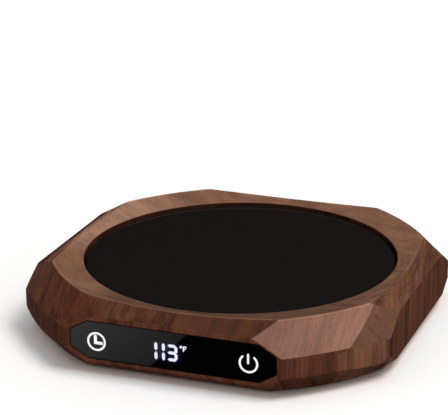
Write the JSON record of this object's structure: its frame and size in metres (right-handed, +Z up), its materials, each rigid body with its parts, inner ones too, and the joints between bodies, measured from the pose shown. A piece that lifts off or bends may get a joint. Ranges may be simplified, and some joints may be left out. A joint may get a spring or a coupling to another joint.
{
  "type": "electric mug warmer",
  "caption": "Low faceted desk warmer for a mug, with a dished wood-grain body, a round black heating plate on springs, a black display panel and a rear power inlet.",
  "frame": {"origin": "on the table under the middle of the body, at the underside of the feet", "axes": "+Z up; the display panel faces -Y and the power inlet faces +Y; +X is to the right as the panel is read"},
  "size_m": [0.13, 0.13, 0.0238],
  "materials": {
    "wood_grain": "satin wood-grain print",
    "black_glass": "gloss black",
    "panel_black": "gloss black",
    "cover_plastic": "fine matt texture",
    "carrier_plastic": "matt",
    "rubber_foot": "matt rubber",
    "silicone": "matt silicone",
    "aluminium_plate": "brushed",
    "heater_foil": "satin film",
    "insulation": "felted",
    "spring_steel": "drawn wire",
    "screw_steel": "zinc plated",
    "circuit_board": "satin solder mask",
    "chip_black": "matt moulding",
    "connector_white": "satin nylon",
    "ferrite": "matt ferrite",
    "can_aluminium": "satin",
    "pin_brass": "polished",
    "lead_insulation": "satin silicone",
    "cable_grey": "satin",
    "display_white": "diffusing",
    "sensor_body": "satin",
    "tape_black": "matt"
  },
  "bodies": {
    "housing": {"top_housing": "wood_grain", "base_cover": "cover_plastic", "front_panel": "panel_black", "panel_adhesive": "tape_black", "display_board": "circuit_board", "digit_display": "display_white", "key_springs": "spring_steel", "key_lights": "display_white", "display_board_screws": "screw_steel", "display_cable": "cable_grey", "main_board": "circuit_board", "main_board_screws": "screw_steel", "power_inlet": "chip_black", "inlet_pin": "pin_brass", "controller_chip": "chip_black", "power_transistor": "chip_black", "choke_coil": "ferrite", "storage_capacitors": "can_aluminium", "buzzer": "chip_black", "heater_connector": "connector_white", "sensor_connector": "connector_white", "display_connector": "connector_white", "switch_body": "chip_black", "heater_leads": "lead_insulation", "sensor_leads": "lead_insulation", "plate_springs": "spring_steel", "base_screws": "screw_steel", "foot_front_left": "rubber_foot", "foot_front_right": "rubber_foot", "foot_rear_left": "rubber_foot", "foot_rear_right": "rubber_foot"},
    "heating_plate": {"plate_glass": "black_glass", "heat_spreader": "aluminium_plate", "heater_film": "heater_foil", "insulation_pad": "insulation", "plate_carrier": "carrier_plastic", "plate_seal": "silicone", "thermistor": "sensor_body", "thermal_fuse": "sensor_body", "sensor_clamp": "spring_steel", "clamp_screw": "screw_steel", "retaining_washers": "screw_steel", "retaining_screws": "screw_steel"},
    "plunger": {"switch_plunger": "connector_white"}
  },
  "joints": [
    {"name": "plate_slide", "type": "slide", "parent": "housing", "child": "heating_plate", "axis": [0, 0, -1], "range_m": [0, 0.0008], "stiffness_N_per_m": 1200, "springref_m": -0.0015, "deforming": ["plate_springs", "heater_leads", "sensor_leads"]},
    {"name": "plunger_slide", "type": "slide", "parent": "housing", "child": "plunger", "axis": [0, 0, -1], "range_m": [0, 0.0008]}
  ],
  "couplings": [
    {"joint": "plunger_slide", "follows": "plate_slide", "ratio": 1}
  ]
}
